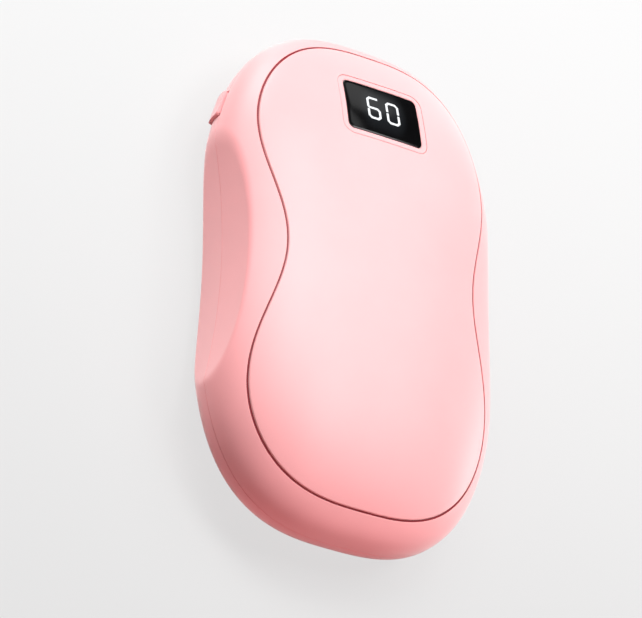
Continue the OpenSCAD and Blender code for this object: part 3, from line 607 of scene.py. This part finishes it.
class Wire:
    """A socket in a finish. Sums and products of wires add Math nodes."""

    def __init__(self, finish, socket):
        self.finish = finish
        self.socket = socket

    def maths(self, operation, first, second=0.0):
        values = {0: first, 1: second}
        return self.finish.node("ShaderNodeMath", {"operation": operation}, values)

    def __add__(self, other):
        return self.maths("ADD", self, other)

    __radd__ = __add__

    def __sub__(self, other):
        return self.maths("SUBTRACT", self, other)

    def __rsub__(self, other):
        return self.maths("SUBTRACT", other, self)

    def __mul__(self, other):
        return self.maths("MULTIPLY", self, other)

    __rmul__ = __mul__

    def __mod__(self, other):
        return self.maths("FLOORED_MODULO", self, other)

    def __abs__(self):
        return self.maths("ABSOLUTE", self)

    def between(self, low, high):
        """0 below low, 1 above high, and smooth between them."""
        values = {0: self, 1: low, 2: high, 3: 0.0, 4: 1.0}
        settings = {"interpolation_type": "SMOOTHSTEP"}
        return self.finish.node("ShaderNodeMapRange", settings, values)

    def zigzag(self, pitch):
        """Half of pitch, down to 0 and up again, once in every pitch."""
        return abs(self % pitch - pitch / 2)

    def greatest(self, other):
        """The greater of two values."""
        return self.maths("MAXIMUM", self, other)


class Finish:
    """A material on the Principled shader."""

    def __init__(self, name, **constants):
        self.material = bpy.data.materials.new(name)
        self.material.use_nodes = True
        self.tree = self.material.node_tree
        self.shader = self.tree.nodes["Principled BSDF"]
        self.surface(**constants)

    def node(self, kind, settings=None, values=None, out=0):
        """Adds a node with its settings and the values or wires of its sockets."""
        made = self.tree.nodes.new(kind)
        for name, setting in (settings or {}).items():
            setattr(made, name, setting)
        for name, value in (values or {}).items():
            self.feed(made.inputs[name], value)
        return Wire(self, made.outputs[out])

    def feed(self, socket, value):
        """Sets a socket to a number or colour, or links a wire to it."""
        if isinstance(value, Wire):
            self.tree.links.new(value.socket, socket)
        elif isinstance(value, tuple) and len(value) == 3 and socket.type == "RGBA":
            socket.default_value = (*value, 1.0)
        else:
            socket.default_value = value

    def surface(self, **values):
        """Sets the shader's sockets, such as base_color or roughness."""
        for name, value in values.items():
            socket = name.replace("_", " ").title().replace("Ior", "IOR")
            self.feed(self.shader.inputs[socket], value)

    def place(self):
        """Metres in the object's own frame."""
        return self.node("ShaderNodeTexCoord", out="Object")

    def along(self, axis):
        """The distance along X, Y or Z, in millimetres."""
        return self.node("ShaderNodeSeparateXYZ", values={0: self.place()}, out=axis) * 1000.0

    def stretched(self, scale):
        """The place, scaled apart along each axis."""
        return self.node("ShaderNodeVectorMath", {"operation": "MULTIPLY"},
            {0: self.place(), 1: scale})

    def noise(self, size, detail=2.0, place=None):
        """Even noise from 0 to 1 whose lumps are about size millimetres wide."""
        return self.node("ShaderNodeTexNoise", values={"Vector": place or self.place(),
            "Scale": 500.0 / size, "Detail": detail, "Roughness": 0.55})

    def cells(self, size, feature="F1"):
        """Cells about size millimetres wide: the distance from their middles or edges."""
        return self.node("ShaderNodeTexVoronoi", {"feature": feature},
            {"Vector": self.place(), "Scale": 1000.0 / size}, out="Distance")

    def blend(self, factor, first, second):
        """Colours first to second as factor goes from 0 to 1."""
        return self.node("ShaderNodeMix", {"data_type": "RGBA"},
            {0: factor, 6: first, 7: second}, out=2)

    def bumped(self, height, depth, over=None):
        """Normals of a surface whose height goes from 0 to depth, in millimetres."""
        values = {"Strength": 1.0, "Distance": depth * MM, "Height": height}
        if over is not None:
            values["Normal"] = over
        return self.node("ShaderNodeBump", values=values)


def srgb(red, green, blue):
    """Screen values from 0 to 255 as linear colour."""
    parts = [c / 255 for c in (red, green, blue)]
    return tuple(c / 12.92 if c < 0.04045 else ((c + 0.055) / 1.055) ** 2.4 for c in parts)


def toned(colour, share):
    """A colour made darker or paler by a share."""
    return tuple(min(1.0, c * share) for c in colour)


def satin_pink(name, colour, grain, roughness):
    """Moulded plastic with a fine eroded grain and a faint unevenness of tone."""
    pink = Finish(name, specular_ior_level=0.5, sheen_weight=1.0, sheen_roughness=0.5)
    cloud = pink.noise(9.0, 3.0)
    speck = pink.noise(0.12, 2.0)
    tone = cloud * 0.75 + speck * 0.25
    pink.surface(
        base_color=pink.blend(tone.between(0.3, 0.7), toned(colour, 0.975), toned(colour, 1.025)),
        roughness=roughness - 0.04 + cloud * 0.05 + speck * 0.03,
        normal=pink.bumped(speck, grain, pink.bumped(pink.noise(0.5, 3.0), grain * 0.8)))
    return pink.material


def smoked_glass():
    """Dark glossy window, with a painted glow round the lit number: emission that stands in for
    the digits' light spread in the glass.
    """
    glass = Finish("smoked_glass", specular_ior_level=0.5)
    # Painted glow: an emission mask round the digits that fades with distance from them
    x, y = glass.along("X"), glass.along("Y") - (window_y + digit_rise)
    beside = (abs(x) - digit_pitch / 2).greatest(0.0)
    spread = beside * beside + y * y * 0.35
    painted_glow = 1.0 - spread.between(0.0, 14.0)
    wiped = glass.noise(6.0, 4.0, glass.stretched((0.35, 1.0, 1.0)))
    glass.surface(
        base_color=glass.blend(wiped, (0.0012, 0.0012, 0.0014), (0.0026, 0.0026, 0.003)),
        roughness=0.07 + wiped * 0.08,
        emission_color=glass.blend(painted_glow, (0.0, 0.0, 0.0), (0.62, 0.72, 0.85)),
        emission_strength=0.018)
    return glass.material


def lit_white():
    """Lit light guide, with a faint unevenness of brightness."""
    lit = Finish("lit_white", base_color=(0.12, 0.12, 0.12), roughness=0.4)
    lumps = lit.noise(0.9, 2.0)
    lit.surface(emission_color=lit.blend(lumps, (0.86, 0.9, 0.95), (0.97, 0.99, 1.0)),
        emission_strength=1.0)
    return lit.material


def moulded(name, colour, roughness=0.5, size=0.15, depth=0.006):
    """Plain moulded plastic with an eroded grain."""
    plain = Finish(name)
    cloud, speck = plain.noise(4.0, 3.0), plain.noise(size, 2.0)
    plain.surface(base_color=plain.blend(cloud, toned(colour, 0.9), toned(colour, 1.1)),
        roughness=roughness - 0.06 + speck * 0.12, normal=plain.bumped(speck, depth))
    return plain.material


def metal(name, colour, roughness, scale, size=0.6):
    """Metal with streaks, drawn out by the scale on each axis."""
    bare = Finish(name, metallic=1.0)
    streak = bare.noise(size, 4.0, bare.stretched(scale))
    tarnish = bare.noise(5.0, 4.0)
    bare.surface(base_color=bare.blend(tarnish, toned(colour, 0.88), colour),
        roughness=roughness - 0.08 + streak * 0.16 + tarnish * 0.05,
        normal=bare.bumped(streak, 0.003))
    return bare.material


def heater_film():
    """Amber film over copper tracks that run from side to side."""
    film = Finish("heater_film", coat_weight=0.4, coat_roughness=0.15)
    x, y = film.along("X"), film.along("Y")
    track = y.zigzag(2.4).between(0.45, 0.6) * (1.0 - abs(x).between(19.2, 19.5))
    amber, copper = srgb(196, 112, 34), srgb(150, 84, 46)
    ripple = film.noise(2.2, 3.0)
    film.surface(base_color=film.blend(track, amber, copper), roughness=0.22 + ripple * 0.16,
        metallic=track * 0.4, normal=film.bumped(track * 0.7 + ripple * 0.3, 0.03))
    return film.material


def board_green():
    """Solder mask over copper tracks, with bare pads."""
    board = Finish("board_green", coat_weight=0.5, coat_roughness=0.12)
    edges = board.cells(2.6, "DISTANCE_TO_EDGE")
    track = 1.0 - edges.between(0.06, 0.12)
    pad = 1.0 - board.cells(3.4).between(0.11, 0.14)
    mask = board.blend(track, srgb(14, 84, 48), srgb(32, 120, 70))
    weave = board.noise(0.25, 2.0)
    board.surface(base_color=board.blend(pad, mask, srgb(222, 188, 110)), metallic=pad * 0.9,
        roughness=0.3 + weave * 0.12 - pad * 0.05, normal=board.bumped(track + weave * 0.2, 0.02))
    return board.material


def cell_foil():
    """Crinkled foil pouch."""
    foil = Finish("cell_foil", metallic=0.85)
    crease = foil.node("ShaderNodeTexNoise", {"noise_type": "RIDGED_MULTIFRACTAL"},
        {"Vector": foil.place(), "Scale": 140.0, "Detail": 4.0, "Roughness": 0.4})
    mist = foil.noise(0.2, 2.0)
    foil.surface(base_color=foil.blend(mist, srgb(176, 182, 190), srgb(206, 210, 216)),
        roughness=0.34 + mist * 0.12, normal=foil.bumped(crease, 0.05))
    return foil.material


def foam():
    """Open foam with small round cells."""
    pad = Finish("foam_grey", sheen_weight=0.2)
    cells = pad.cells(0.55)
    cloud = pad.noise(3.0, 3.0)
    pad.surface(base_color=pad.blend(cells, srgb(58, 58, 61), srgb(104, 104, 108)),
        roughness=0.86 + cloud * 0.1, normal=pad.bumped(cells, 0.18))
    return pad.material


def port_black():
    """Black moulding with a row of gold contacts on each face."""
    tongue = Finish("port_black")
    x, y = tongue.along("X"), tongue.along("Y")
    bar = 1.0 - (x + 0.25).zigzag(0.5).between(0.11, 0.13)
    across = 1.0 - abs(x).between(2.85, 2.9)
    contact = bar * across * y.between(47.9, 48.0) * (1.0 - y.between(51.6, 51.7))
    speck = tongue.noise(0.12, 2.0)
    tongue.surface(base_color=tongue.blend(contact, srgb(28, 28, 30), srgb(226, 190, 108)),
        metallic=contact, roughness=0.5 + speck * 0.1 - contact * 0.26,
        normal=tongue.bumped(contact + speck * 0.1, 0.02))
    return tongue.material


def lead(name, colour):
    """Wire covering, finely grained and dusty."""
    cover = Finish(name, coat_weight=0.2, coat_roughness=0.3)
    dust, speck = cover.noise(2.0, 4.0), cover.noise(0.1, 2.0)
    cover.surface(base_color=cover.blend(dust, toned(colour, 0.85), toned(colour, 1.12)),
        roughness=0.42 + dust * 0.1, normal=cover.bumped(speck, 0.006))
    return cover.material


def capacitor():
    """Fired ceramic with tinned ends."""
    body = Finish("capacitor_tan")
    ends = (body.along("X") + 0.6).zigzag(1.2).between(0.42, 0.46)
    fired = body.noise(0.3, 3.0)
    body.surface(base_color=body.blend(fired, srgb(150, 118, 88), srgb(186, 152, 116)),
        roughness=0.45 + fired * 0.15 - ends * 0.1, normal=body.bumped(fired, 0.01))
    return body.material


def painted_seam_shade():
    """Painted seam shade: dark red, slightly lumpy along the seam, standing in for the shadow in
    its gap.
    """
    glue = Finish("painted_seam_shade")
    lumps = glue.noise(1.5, 3.0)
    glue.surface(base_color=glue.blend(lumps, srgb(122, 32, 40), srgb(150, 46, 54)),
        roughness=0.5 + lumps * 0.15, normal=glue.bumped(lumps, 0.02))
    return glue.material


# The shell's pink is the plastic's colour, made a little deeper than the panel's as painted shade
# for the shell's shaded flanks
shell_pink = srgb(249, 170, 172)
panel_pink = srgb(249, 174, 176)

finishes = {
    "pink_shell": satin_pink("satin_pink_shell", shell_pink, 0.003, 0.46),
    "pink_panel": satin_pink("satin_pink_panel", panel_pink, 0.002, 0.42),
    "window": smoked_glass(),
    "lit_digits": lit_white(),
    "lamps": moulded("lamp_block", srgb(66, 66, 69), 0.6),
    "gold_pins": metal("gold_plating", srgb(232, 196, 118), 0.28, (1.0, 1.0, 0.2)),
    "heat_plate": metal("rolled_aluminium", srgb(206, 208, 211), 0.36, (6.0, 0.15, 1.0), 1.2),
    "heater_film": heater_film(),
    "switch_black": moulded("switch_black", srgb(44, 44, 47), 0.5),
    "plunger_white": moulded("plunger_white", srgb(232, 232, 229), 0.42),
    "port_metal": metal("port_plating", srgb(200, 203, 208), 0.3, (1.0, 0.15, 1.0)),
    "port_black": port_black(),
    "board_green": board_green(),
    "chip_black": moulded("chip_black", srgb(38, 38, 41), 0.62, 0.1, 0.01),
    "inductor_grey": moulded("inductor_grey", srgb(92, 92, 95), 0.7, 0.2, 0.02),
    "capacitor_tan": capacitor(),
    "cell_foil": cell_foil(),
    "tray_white": moulded("tray_white", srgb(226, 226, 224), 0.5),
    "foam_grey": foam(),
    "lead_red": lead("lead_red", srgb(204, 34, 28)),
    "lead_black": lead("lead_black", srgb(42, 42, 44)),
    "lead_orange": lead("lead_orange", srgb(226, 128, 40)),
    "sensor_dark": lead("sensor_dark", srgb(52, 66, 70)),
    "screw_steel": metal("screw_steel", srgb(198, 200, 205), 0.32, (1.0, 1.0, 4.0), 0.8),
    # Painted shade for the seams
    "painted_seam_shade": painted_seam_shade()}

node_slots = {part["node"]: part["material_slot"] for part in frame["record"]["subparts"]}


def dress(piece, finish):
    """Gives a piece one finish."""
    if piece.material_slots:
        for held in piece.material_slots:
            held.material = finish
    else:
        piece.data.materials.append(finish)


for name, node in frame["nodes"].items():
    dress(node, finishes[node_slots[name]])
for piece, slot in ((front_shell, "pink_shell"), (back_shell, "pink_shell"),
        (front_panel, "pink_panel"), (back_panel, "pink_panel"), (bezel, "pink_panel"),
        (glass, "window"), (digits, "lit_digits"), (button, "pink_shell")):
    dress(piece, finishes[slot])
# The seam strips get the painted seam shade
for piece in seam_shades:
    dress(piece, finishes["painted_seam_shade"])


# ---- the floor, the lamps and the camera ----

# The floor's brightness for the camera is painted: a fall of light that darkens it towards -Y
floor_half = 4
floor_low, floor_high = (0.605,) * 3, (0.83,) * 3
painted_floor_fall = (-160.0, 130.0)
floor_bounce, floor_shade = (0.55, 0.3, 0.3), (0.1,) * 3


def floor_piece():
    """Pale floor, with a painted fall of light that darkens it towards -Y. The camera sees it
    nearly white, and it keeps the shadow.
    """
    mesh = bpy.data.meshes.new("studio_floor")
    corners = [(x * floor_half, y * floor_half, 0)
        for x, y in ((-1, -1), (1, -1), (1, 1), (-1, 1))]
    mesh.from_pydata(corners, [], [(0, 1, 2, 3)])
    floor = bpy.data.objects.new("studio_floor", mesh)
    bpy.context.scene.collection.objects.link(floor)
    paper = Finish("studio_paper")
    rays = paper.node("ShaderNodeLightPath", out="Is Camera Ray")
    for kind in ("Is Glossy Ray", "Is Transmission Ray"):
        rays = rays.greatest(paper.node("ShaderNodeLightPath", out=kind))
    dull = paper.node("ShaderNodeBsdfDiffuse", values={"Color": floor_bounce})
    lit = paper.node("ShaderNodeBsdfDiffuse", values={"Color": floor_shade})
    # Painted fall of light across the floor, along Y
    fall = paper.along("Y").between(*painted_floor_fall)
    glow = paper.node("ShaderNodeEmission",
        values={"Color": paper.blend(fall, floor_low, floor_high), "Strength": 1.0})
    seen = paper.node("ShaderNodeAddShader", values={0: lit, 1: glow})
    shown = paper.node("ShaderNodeMixShader", values={0: rays, 1: dull, 2: seen})
    paper.tree.links.new(shown.socket, paper.tree.nodes["Material Output"].inputs["Surface"])
    paper.tree.nodes.remove(paper.shader)
    mesh.materials.append(paper.material)


def lamp(name, azimuth, elevation, power, distance=1.0, size=0.42, colour=(1.0, 1.0, 1.0)):
    """A round soft lamp that looks at the object, with its bearing in degrees."""
    light = bpy.data.lights.new(name, "AREA")
    light.shape = "DISK"
    light.size = size
    light.energy = power
    light.color = colour
    a, e = math.radians(azimuth), math.radians(elevation)
    away = Vector((math.cos(a) * math.cos(e), math.sin(a) * math.cos(e), math.sin(e)))
    held = bpy.data.objects.new(name, light)
    held.location = away * distance + Vector((0, 0, parting_h * MM))
    held.rotation_euler = away.to_track_quat("Z", "Y").to_euler()
    bpy.context.scene.collection.objects.link(held)


def sky(strength):
    """An even pale light from all round."""
    world = bpy.data.worlds.new("studio_air")
    world.use_nodes = True
    back = world.node_tree.nodes["Background"]
    back.inputs["Color"].default_value = (1.0, 1.0, 1.0, 1.0)
    back.inputs["Strength"].default_value = strength
    bpy.context.scene.world = world


view_lens, view_sensor, view_reach = 293.156, 36.0, 10
view_place = (-0.50834, -0.45173, 0.78496)
view_across = Vector((0.83424057, 0.0151577, 0.55119227))
view_up = Vector((-0.25183991, 0.89974444, 0.35642194))


def camera():
    """The photograph's view: down on the face, from the lower left."""
    lens = bpy.data.cameras.new("view")
    lens.sensor_width = view_sensor
    lens.lens = view_lens
    lens.clip_end = view_reach
    eye = bpy.data.objects.new("view", lens)
    back = view_across.cross(view_up)
    turn = Matrix((view_across, view_up, back)).transposed().to_4x4()
    eye.matrix_world = Matrix.Translation(view_place) @ turn
    bpy.context.scene.collection.objects.link(eye)
    bpy.context.scene.camera = eye


floor_piece()
lamp("high_from_the_top_end", 100, 66, 5.5)
lamp("high_from_the_right", 15, 72, 4.6)
lamp("over_the_right_shoulder", 45, 50, 2.4)
lamp("over_the_left_shoulder", 130, 50, 3.3)
lamp("low_from_the_upper_left", 116, 6, 6.9)
lamp("low_from_the_right", 5, 4, 3.4)
lamp("faint_from_the_foot", -60, 15, 2.9, colour=(1.0, 0.4, 0.4))
lamp("sheen_on_the_window", 63.5, 25, 0.17, distance=1.5, size=0.3)
lamp("lower_sheen_on_the_window", 62.5, 36.5, 0.07, distance=1.5, size=0.2)
sky(0.02)
camera()
bpy.context.scene.view_settings.view_transform = "Standard"
